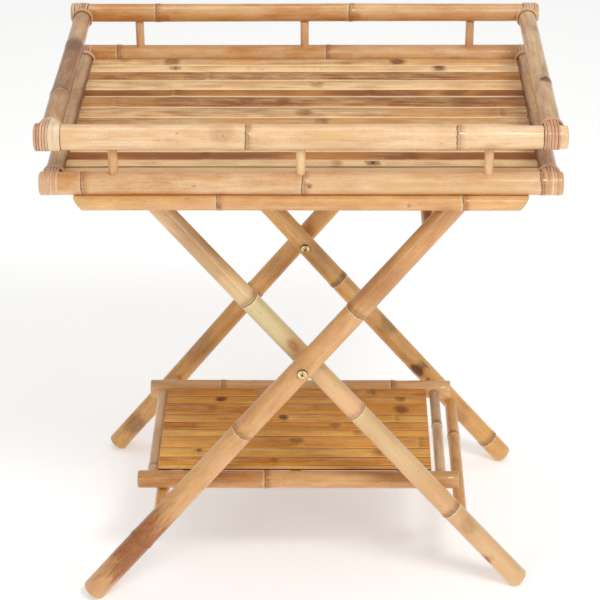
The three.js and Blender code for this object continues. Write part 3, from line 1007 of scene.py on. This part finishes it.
def lay_slat(start, size, row, seed, **edges):
    """A slat from one row of a list, laid along X from start, with its X side to the back.
    size is its length, width and thickness."""
    tone, places, scars = row
    nodes = sorted(place * MM - start[0] for place in places)
    eyes = [(along * MM - start[0], *rest) for along, *rest in scars]
    bm = slat(*size, nodes, eyes, seed, tone, **edges)
    turn = Matrix(((0, 0, 1, 0), (1, 0, 0, 0), (0, 1, 0, 0), (0, 0, 0, 1)))
    bmesh.ops.transform(bm, matrix=Matrix.Translation(start) @ turn, verts=bm.verts)
    return bm


print("a slat's section has", len(slat_section(0.02, 0.01, 1.8 * MM, 2.0 * MM)), "corners")

# %% Deck slats
# from front to back: tone, nodes along the tray, and eyes as (along, across, radius, depth)
DECK = [
    # the front slat is palest, partly as painted light against the lower rail's shadow
    (-0.4, (-192,), []),
    (0.1, (-226, 40), [(40, -2, 9, 0.4), (83, -3, 9, 1.75)]),
    # the third slat is dark, partly as painted shade under the upper rail
    (1.1, (-113, 127), [(-113, 3, 9, 0.8), (127, 0, 12, 0.7)]),
    (0.52, (-30, 204), [(204, 2, 9, 0.5)]),
    (0.52, (-178, 92), [(-178, 0, 10, 0.45), (92, 3, 8, 0.4)]),
    (0.50, (-88, 165), [(165, -3, 9, 0.4)]),
    (0.60, (23, -205), [(23, 1, 13, 0.55)]),
    (0.48, (2, 240), [(2, -3, 12, 0.6), (236, -2, 22, 0.35)]),
    (0.85, (-23, -232), [(-23, 0, 10, 0.7), (-70, 2, 11, 0.55), (196, 0, 17, 0.6)]),
    (1.15, (83, -160), [(83, 1, 10, 0.5), (190, 2, 20, 0.75)]),
    (0.20, (17, -214), [(17, 0, 11, 0.5)]),
    (0.80, (115, -120), [(115, 0, 14, 0.45)]),
    (0.03, (173, -75), [(173, 0, 11, 0.95), (-165, -2, 7, 1.5)]),
    (0.36, (119, -168), [(119, -1, 12, 0.9), (-171, -1, 13, 0.75), (-232, 3, 8, 0.4)]),
]
# the slats' ends reach the side rails, a joint is left between their rounded edges, darkened by
# stain and painted shade on their sides, and some lie a little higher than others
SLAT_REACH = 1.8 * MM
SLAT_JOINT = 0.7 * MM
SLAT_RISE = 1.2 * MM

for number, row in enumerate(DECK, 1):
    node = f"deck_slat_{number:02d}"
    low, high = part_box(node)
    size = high - low
    thickness = size.z + SLAT_RISE * random.Random(number).random()
    size = (size.x + 2 * SLAT_REACH, size.y - SLAT_JOINT, thickness)
    start = (low.x - SLAT_REACH, (low.y + high.y) / 2, low.z)
    bm = lay_slat(start, size, row, f"deck{number}")
    make_piece(bm, "strip_" + node, "deck_bamboo", "tray", [node])
print(len(DECK), "deck slats")


# %% [markdown]
# ## Battens
#
# Three plain battens hold the slats from below. The CAD shape is right, coped ends and all, and
# only its edges are too sharp. So a copy of it is merged, its flat faces are joined up, and its
# edges get a small bevel.

# %% Battens under the deck
def softened(node, width):
    """A merged copy of a CAD node with its sharp edges bevelled."""
    bm = bmesh.new()
    bm.from_mesh(frame["nodes"][node].data)
    bmesh.ops.remove_doubles(bm, verts=bm.verts, dist=10 * WELD)
    bmesh.ops.dissolve_limit(bm, angle_limit=math.radians(2), verts=bm.verts, edges=bm.edges)
    sharp = [e for e in bm.edges if len(e.link_faces) == 2 and e.calc_face_angle() > CRISP]
    bmesh.ops.bevel(
        bm, geom=sharp, offset=width, segments=2, profile=0.5, affect="EDGES", material=-1,
        clamp_overlap=True,
    )
    return bm


for position in ("left", "middle", "right"):
    node = f"deck_batten_{position}"
    make_piece(softened(node, 0.8 * MM), "soft_" + node, "raw_bamboo", "tray", [node])
print("3 battens")

# %% [markdown]
# ## Rattan lashings
#
# Each corner of the tray is bound with rattan peel. The strips go round the long rail side by
# side, draw together over the end of the side rail, and a collar of a few turns round the side
# rail holds them. Where the strips fan out, small gaps are left, and a bed painted dark as shade
# shows in them. One corner also has a wide sleeve of peel. Modelling the strips one by one is
# more work than a bumpy tube, but the gaps and the overlapping edges are what the eye reads as a
# binding.

# %% A strip of peel
PEEL_THICKNESS = 0.95 * MM
# how dark the bed under the strips is painted, as shade, beyond the oldest peel
PAINTED_SHADE_TONE = 2.6


def peel_section(width, top=PEEL_THICKNESS):
    """Flat inside, crowned outside; x across the strip and y outwards."""
    half = width / 2
    return [
        (-half, 0), (half, 0), (half, 0.45 * top), (half * 0.8, 0.85 * top), (half * 0.3, top),
        (-half * 0.3, top), (-half * 0.8, 0.85 * top), (-half, 0.45 * top),
    ]


def strip_frames(path):
    """Frames along (point, outward) pairs: Z runs on along the path and Y points outwards."""
    frames = []
    for k, (point, outward) in enumerate(path):
        before, after = path[max(k - 1, 0)][0], path[min(k + 1, len(path) - 1)][0]
        along = (after - before).normalized()
        up = (outward - along * outward.dot(along)).normalized()
        side = up.cross(along)
        turn = Matrix((side, up, along)).transposed().to_4x4()
        frames.append(Matrix.Translation(point) @ turn)
    return frames


# %% The windings of one corner
# start of the windings from the rail's end, then the strips' widths, in millimetres
LASHINGS = {
    "upper_front_left": (0.8, (2.6, 2.8, 2.6, 3.0, 2.8, 13.4)),
    "upper_front_right": (9.4, (2.4, 3.4, 3.0, 4.6, 2.6)),
    "lower_front_left": (0.8, (2.4, 2.6, 5.6, 2.6, 2.8, 2.6)),
    "lower_front_right": (2.0, (2.4, 2.6, 2.6, 2.8, 3.6, 5.4)),
    "upper_back_left": (2.0, (2.8, 2.6, 3.0, 3.6, 2.8, 3.0)),
    "upper_back_right": (3.0, (3.0, 2.6, 3.2, 2.8, 3.4)),
    "lower_back_left": (2.0, (2.8, 3.0, 2.6, 3.2, 2.8, 3.0)),
    "lower_back_right": (2.0, (3.0, 2.6, 3.0, 3.4, 2.8, 2.6)),
}
STRIP_GAP = 0.4 * MM
# a strip wider than this many millimetres is a sleeve of young, pale peel
SLEEVE = 8
SLEEVE_TONE = 0.12
COLLAR_WIDTH = 3.0 * MM
COLLAR_THICKNESS = 1.7 * MM
# the collar's turns start this far from the long rail, and follow at this distance
COLLAR_START = 5.6 * MM
COLLAR_PITCH = 3.3 * MM
COLLAR_TURNS = 2
WINDING_STEPS = 18
COLLAR_STEPS = 30


def winding_path(x, rail, radius, side_rail, side_radius, inward):
    """One strip: from the top of the side rail over and round the long rail to its underside."""
    path = []
    over_side = abs(x - side_rail.x) < side_radius
    spread = max(-0.7, min(0.7, (x - side_rail.x) / side_radius))
    tuck_x = side_rail.x + spread * side_radius
    tuck_y = rail.y + inward * (radius + 7 * MM)
    height = math.sqrt(1 - spread**2) * (side_radius + 0.2 * MM)
    leave = math.radians(72 if over_side else 0)
    for k in range(WINDING_STEPS + 1):
        angle = leave + (math.tau - 2 * leave) * k / WINDING_STEPS
        outward = Vector((0, inward * math.cos(angle), math.sin(angle)))
        path.append((Vector((x, rail.y, rail.z)) + outward * (radius + 0.1 * MM), outward))
    if over_side:
        for sign in (1, -1):
            place = Vector((tuck_x, tuck_y, rail.z + sign * height))
            outward = Vector((spread, 0, sign * math.sqrt(1 - spread**2)))
            joint, joint_out = path[0] if sign > 0 else path[-1]
            halfway = joint.lerp(place, 0.5) + Vector((0, 0, sign * 0.5 * MM))
            extra = [(place, outward), (halfway, (outward + joint_out).normalized())]
            path = extra + path if sign > 0 else path + extra[::-1]
    return path


def collar(side_rail, side_radius, y, seed, tone, section):
    """One turn of peel round the side rail, leaning a little."""
    rng = random.Random(seed)
    lean = rng.uniform(-0.05, 0.05)
    path = []
    for k in range(COLLAR_STEPS + 1):
        angle = math.tau * k / COLLAR_STEPS
        outward = Vector((math.cos(angle), 0, math.sin(angle)))
        centre = Vector((side_rail.x, y + lean * side_radius * math.sin(angle), side_rail.z))
        path.append((centre + outward * (side_radius + 0.9 * MM), outward))
    return drawn(section, strip_frames(path), tone, seed)


def merge(target, source):
    """Adds one bmesh to another by way of a mesh."""
    mesh = bpy.data.meshes.new("part")
    source.to_mesh(mesh)
    source.free()
    target.from_mesh(mesh)
    bpy.data.meshes.remove(mesh)


for name, (first, widths) in LASHINGS.items():
    level, side, end = name.split("_")
    rng = random.Random(name)
    rail = long_rail(level, side)[0]
    tip = rail.x if end == "left" else -rail.x
    side_start, _, near_radius, far_radius = pole(f"tray_{level}_rail_{end}", Y_AXIS)
    side_radius = near_radius if side == "front" else far_radius
    inward = 1 if side == "front" else -1
    bm = bmesh.new()
    offset = first * MM
    for number, width in enumerate(widths):
        x = tip - math.copysign(offset + width * MM / 2, tip)
        radius = rail_radius_at(level, side, x)
        path = winding_path(x, rail, radius, side_start, side_radius, inward)
        tone = SLEEVE_TONE if width > SLEEVE else rng.uniform(0.3, 0.95)
        merge(bm, drawn(peel_section(width * MM), strip_frames(path), tone, f"{name}{number}"))
        offset += width * MM + STRIP_GAP
    # a bed under the strips, painted dark as shade, shows in the gaps between them
    shade_bed_width = offset - first * MM
    x = tip - math.copysign(first * MM + 0.4 * MM + shade_bed_width / 2, tip)
    radius = rail_radius_at(level, side, x)
    angles = [math.tau * k / 24 for k in range(25)]
    outs = [Vector((0, math.cos(angle), math.sin(angle))) for angle in angles]
    around = [(Vector((x, rail.y, rail.z)) + out * (radius + 0.05 * MM), out) for out in outs]
    merge(bm, drawn(peel_section(shade_bed_width, 0.4 * MM), strip_frames(around), PAINTED_SHADE_TONE, name))
    for turn in range(COLLAR_TURNS):
        y = rail.y + inward * (radius + COLLAR_START + COLLAR_PITCH * turn)
        section = peel_section(COLLAR_WIDTH, COLLAR_THICKNESS)
        tone = rng.uniform(0.4, 0.8)
        merge(bm, collar(side_start, side_radius, y, f"{name}collar{turn}", tone, section))
    # a thin ring round the side rail, painted dark as shade, lies between the long rail and the
    # collar
    y = rail.y + inward * (radius + 3.4 * MM)
    section = peel_section(2.4 * MM, 0.5 * MM)
    merge(bm, collar(side_start, side_radius, y, f"{name}bed", PAINTED_SHADE_TONE, section))
    make_piece(bm, "peel_" + name, "rattan", "tray", [f"lashing_{name}"])
print(len(LASHINGS), "lashings")


# %% [markdown]
# ## The legs
#
# Four stout culms carry the tray. Each leg runs through the pivot and through the middles of its
# frame's two crossbars, so those give its direction. The heads are sawn level under the tray, the
# feet are sawn square and stand on a small worn flat. The grooves matter most here, because a leg
# is long and smooth and the groove bends its highlight.

# %% Legs
# nodes as distances from the pivot, a tone for each stretch from the foot up, the look, and
# eyes and scorched patches as (distance from the pivot, side in degrees, radius, depth)
LEGS = {
    "outer_leg_front": (
        (-331, -119, 103), (0.6, 0.42, 0.42, (0.45, 0.7)), "gold_bamboo",
        [(-335, 15, 72, 1.0), (150, -75, 50, 0.5)],
    ),
    "outer_leg_back": (
        (-320, -114, 150), (0.6, 0.55, 0.5, 0.7), "brown_bamboo",
        [(-390, -20, 22, 0.6), (-230, -60, 34, 0.4), (-60, 20, 28, 0.3)],
    ),
    "inner_leg_front": (
        (-298, -105, 102), (0.75, (1.0, 0.3), (1.1, -0.3), (0.6, 0.75)), "green_bamboo",
        [(24, 25, 11, 0.6), (-325, 20, 14, 0.35), (-385, -50, 12, 1.0), (190, -60, 60, 0.4)],
    ),
    "inner_leg_back": (
        (-406, -71, 140), (0.4, 0.3, 0.3, 0.5), "brown_bamboo",
        [(-246, 0, 14, 1.0), (-165, 60, 20, 0.5), (-340, -20, 24, 0.4), (-20, -60, 40, 0.45)],
    ),
}
# where the top groove of a leg is, in degrees round from the front
LEG_GROOVES = {"outer_leg_front": 12, "inner_leg_front": 40}
LEG_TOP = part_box("outer_leg_front")[1].z
# a leg is made this much too long, and its head is then sawn level
SPARE = 30 * MM


def leg_direction(frame_name):
    upper = middle(f"{frame_name}_crossbar_upper")
    lower = middle(f"{frame_name}_crossbar_lower")
    return (upper - lower).normalized()


for seed, (node, (places, tones, look, scars)) in enumerate(LEGS.items(), 50):
    side = node.split("_")[0]
    through = Vector((PIVOT.x, middle(node).y, PIVOT.z))
    direction = leg_direction(side)
    foot, head, *radii = pole(node, direction, through)
    to_pivot = (through - foot).length
    heights = [to_pivot + place * MM for place in places]
    eyes = [(to_pivot + along * MM, *rest) for along, *rest in scars]
    bm = culm(
        (head - foot).length + SPARE, slim(radii), heights, seed, tones, groove=0.1, eyes=eyes,
        kink=0.8 * MM, groove_side=LEG_GROOVES.get(node),
    )
    stand(bm, foot, head)
    saw(bm, Vector((0, 0, LEG_TOP)), Z_AXIS, True)
    saw(bm, Vector((0, 0, 0)), -Z_AXIS, False)
    make_piece(bm, "culm_" + node, look, f"{side}_frame", [node])
print(len(LEGS), "legs, heads at", round(LEG_TOP / MM, 1), "mm")

# %% Crossbars
# the outer frame's bars are longer and cross two nodes; as shares of a bar's length
BAR_NODES = {"outer": (0.2, 0.78), "inner": (0.66,)}

bars = [(side, level) for side in BAR_NODES for level in ("upper", "lower")]
for seed, (side, level) in enumerate(bars, 60):
    node = f"{side}_crossbar_{level}"
    start, end, *radii = pole(node, Y_AXIS)
    length = (end - start).length
    places = [length * share for share in BAR_NODES[side]]
    bm = culm(length, slim(radii), places, seed, 0.55, hollow=(False, False), swell=0.5 * MM)
    stand(bm, start, end)
    make_piece(bm, "culm_" + node, "brown_bamboo", f"{side}_frame", [node])
print(len(bars), "crossbars")

# %% [markdown]
# ## Pivot bolts
#
# Each pair of legs turns on a round-headed bolt with a cross slot. The head is spun from half a
# dome, the shank with it. The slot is cut by two thin blades with a Boolean, which is applied at
# once, because a slot drawn as bump would vanish from the side. The nuts keep their CAD shape
# with softer edges, and the shelf's two hidden pins only get the same zinc finish.

# %% Bolts and nuts
HEAD_RADIUS = 6.4 * MM
HEAD_HEIGHT = 3.2 * MM
DOME_HEIGHT = 0.75 * HEAD_HEIGHT
SHANK_RADIUS = 3.0 * MM
# one arm of the cross slot: its length, its width and twice its depth at the middle
SLOT = Vector((6.2, 1.3, 2.4)) * MM
SLOT_TURN = 0.5
# painted shade lies outside this share of the head's radius, and this deep in the slot
UNSHADED_SHARE = 0.88
SHADE_DEPTH = 0.4 * MM


def blade(place, turned):
    """A cutter for one arm of the cross slot."""
    bm = bmesh.new()
    bmesh.ops.create_cube(bm, size=1.0)
    bmesh.ops.scale(bm, vec=(SLOT.x, SLOT.z, SLOT.y), verts=bm.verts)
    if turned:
        bmesh.ops.rotate(bm, matrix=Matrix.Rotation(math.pi / 2, 3, "Y"), verts=bm.verts)
    bmesh.ops.rotate(bm, matrix=Matrix.Rotation(SLOT_TURN, 3, "Y"), verts=bm.verts)
    bmesh.ops.translate(bm, vec=place, verts=bm.verts)
    mesh = bpy.data.meshes.new("blade")
    bm.to_mesh(mesh)
    bm.free()
    cutter = bpy.data.objects.new("blade", mesh)
    scene.collection.objects.link(cutter)
    return cutter


def carve(piece, cutters):
    """Cuts the cutters out of a piece and removes them."""
    for cutter in cutters:
        modifier = piece.modifiers.new("slot", "BOOLEAN")
        modifier.operation = "DIFFERENCE"
        modifier.object = cutter
    graph = bpy.context.evaluated_depsgraph_get()
    carved = bpy.data.meshes.new_from_object(piece.evaluated_get(graph))
    piece.modifiers.clear()
    piece.data = carved
    for cutter in cutters:
        bpy.data.objects.remove(cutter)


def shade_bolt(bolt, top):
    """Marks the painted shade on a bolt: round the rim of its head and down in its slot."""
    painted_shade = bolt.data.attributes.new("painted_shade", "FLOAT", "POINT")
    for v, value in zip(bolt.data.vertices, painted_shade.data):
        away = math.hypot(v.co.x - top.x, v.co.z - top.z)
        dome = DOME_HEIGHT * (1 - math.sqrt(max(0.0, 1 - (away / HEAD_RADIUS) ** 2)))
        sunk = v.co.y - top.y - dome > SHADE_DEPTH
        value.value = 1.0 if away > UNSHADED_SHARE * HEAD_RADIUS or sunk else 0.0


def bolt_outline(length):
    """(height, radius) points: a domed head at 0, then the shank."""
    angles = [math.pi / 2 * k / 9 for k in range(10)]
    dome = [(DOME_HEIGHT * (1 - math.cos(a)), HEAD_RADIUS * math.sin(a)) for a in angles]
    return dome + [
        (HEAD_HEIGHT * 0.92, HEAD_RADIUS), (HEAD_HEIGHT, HEAD_RADIUS * 0.96),
        (HEAD_HEIGHT, SHANK_RADIUS), (length - 0.6 * MM, SHANK_RADIUS),
        (length, SHANK_RADIUS * 0.8), (length, 0),
    ]


for side in ("front", "back"):
    node = f"pivot_bolt_{side}"
    low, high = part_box(node)
    bm = spin_outline(bolt_outline(high.y - low.y), 40)
    head_top = Vector((PIVOT.x, low.y, PIVOT.z))
    stand(bm, head_top, head_top + Y_AXIS)
    bolt = make_piece(bm, "turned_" + node, "brass", "outer_frame", [node])
    carve(bolt, [blade(head_top, False), blade(head_top, True)])
    shade_bolt(bolt, head_top)
    nut = f"pivot_nut_{side}"
    make_piece(softened(nut, 0.35 * MM), "soft_" + nut, "steel", "outer_frame", [nut])
for side in ("front", "back"):
    pin = frame["nodes"][f"shelf_pin_{side}"]
    pin.data.materials.clear()
    pin.data.materials.append(LOOKS["steel"])
print("2 bolts, 2 nuts and 2 pins")

# %% [markdown]
# ## The shelf
#
# Two poles and two thin side rails frame a mat of narrow slats, darker and more orange than the
# tray's. The poles run past the frame with open ends. The CAD model holds the mat as one solid,
# so the slats' edges are read from the corners of its mesh, and each slat becomes a piece.

# %% Shelf poles and side rails
SHELF_POLES = {
    "shelf_pole_front": ((-50,), (0.75, 0.55)),
    "shelf_pole_back": ((-116, 118), (0.2, 0.1, 0.15)),
}
SHELF_RAILS = {"shelf_rail_left": ((-88,), (-0.3, -0.2)), "shelf_rail_right": ((12,), (0.3, 0.5))}

for seed, (node, (places, tones)) in enumerate(SHELF_POLES.items(), 70):
    bm, _, _ = grow(node, X_AXIS, places, seed, tones)
    make_piece(bm, "culm_" + node, "gold_bamboo", "shelf", [node])

for seed, (node, (places, tones)) in enumerate(SHELF_RAILS.items(), 80):
    bm, _, _ = grow(node, Y_AXIS, places, seed, tones, hollow=(False, False))
    for side in ("front", "back"):
        first, _, radius, _ = pole(f"shelf_pole_{side}", X_AXIS)
        cope(bm, first, radius - SLIM, along=1)
    make_piece(bm, "culm_" + node, "side_bamboo", "shelf", [node])
print(len(SHELF_POLES), "poles and", len(SHELF_RAILS), "side rails")

# %% Shelf slats
# from front to back: tone, nodes along the shelf, and eyes as (along, across, radius, depth)
SHELF = [
    (0.40, (60,), []),
    (0.70, (-40,), [(-40, 0, 8, 0.5)]),
    (0.35, (-139, 96), [(-139, 1, 6, 1.5), (96, 0, 9, 0.5)]),
    (0.50, (-11, 150), [(-11, 2, 10, 0.6)]),
    (0.30, (-90, 70), [(70, 0, 8, 0.45)]),
    (0.75, (-150, 40), [(40, 0, 8, 0.5)]),
    (0.45, (-30, 120), [(-30, 1, 7, 0.9)]),
    (0.60, (-125, 10), [(-125, 0, 9, 0.4), (129, -2, 12, 0.8)]),
    (0.50, (-115, 129), [(-115, 0, 9, 1.0), (129, 3, 9, 0.7)]),
    (0.65, (-60, 90), [(90, 0, 7, 0.5)]),
]
SHELF_JOINT = 0.4 * MM
BATTEN_X = (-150, -11, 128)
BATTEN_WIDTH = 14 * MM
# how far the battens stop short of the mat's front and back edges, together
BATTEN_SHORT = 8 * MM


def slat_edges(node):
    """The front and back edges of each slat on the left end of the mat."""
    low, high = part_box(node)
    corners = [v.co for v in frame["nodes"][node].data.vertices if v.co.x - low.x < WELD]
    lowest = min(co.z for co in corners)
    edges = sorted({round(co.y, 5) for co in corners if co.z - lowest < 0.1 * MM})
    return list(zip(edges[::2], edges[1::2])), lowest, high.z


mat_low, mat_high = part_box("shelf_slat_mat")
pairs, bottom, top = slat_edges("shelf_slat_mat")
for number, ((front, back), row) in enumerate(zip(pairs, SHELF), 1):
    start = (mat_low.x - SLAT_REACH, (front + back) / 2, bottom)
    size = (mat_high.x - start[0], back - front - SHELF_JOINT, top - bottom)
    bm = lay_slat(start, size, row, f"shelf{number}", crown=1.3 * MM, edge=1.4 * MM)
    make_piece(bm, f"strip_shelf_slat_{number:02d}", "shelf_bamboo", "shelf", ["shelf_slat_mat"])

for number, x in enumerate(BATTEN_X, 1):
    bm = bmesh.new()
    bmesh.ops.create_cube(bm, size=1.0)
    size = Vector((BATTEN_WIDTH, mat_high.y - mat_low.y - BATTEN_SHORT, bottom - mat_low.z))
    bmesh.ops.scale(bm, vec=size, verts=bm.verts)
    centre = Vector((x * MM, (mat_low.y + mat_high.y) / 2, (bottom + mat_low.z) / 2))
    bmesh.ops.translate(bm, vec=centre, verts=bm.verts)
    bmesh.ops.bevel(
        bm, geom=bm.edges[:], offset=0.8 * MM, segments=2, profile=0.5, affect="EDGES", material=-1
    )
    make_piece(bm, f"shelf_batten_{number}", "raw_bamboo", "shelf", ["shelf_slat_mat"])
print(len(pairs), "shelf slats on", len(BATTEN_X), "battens")
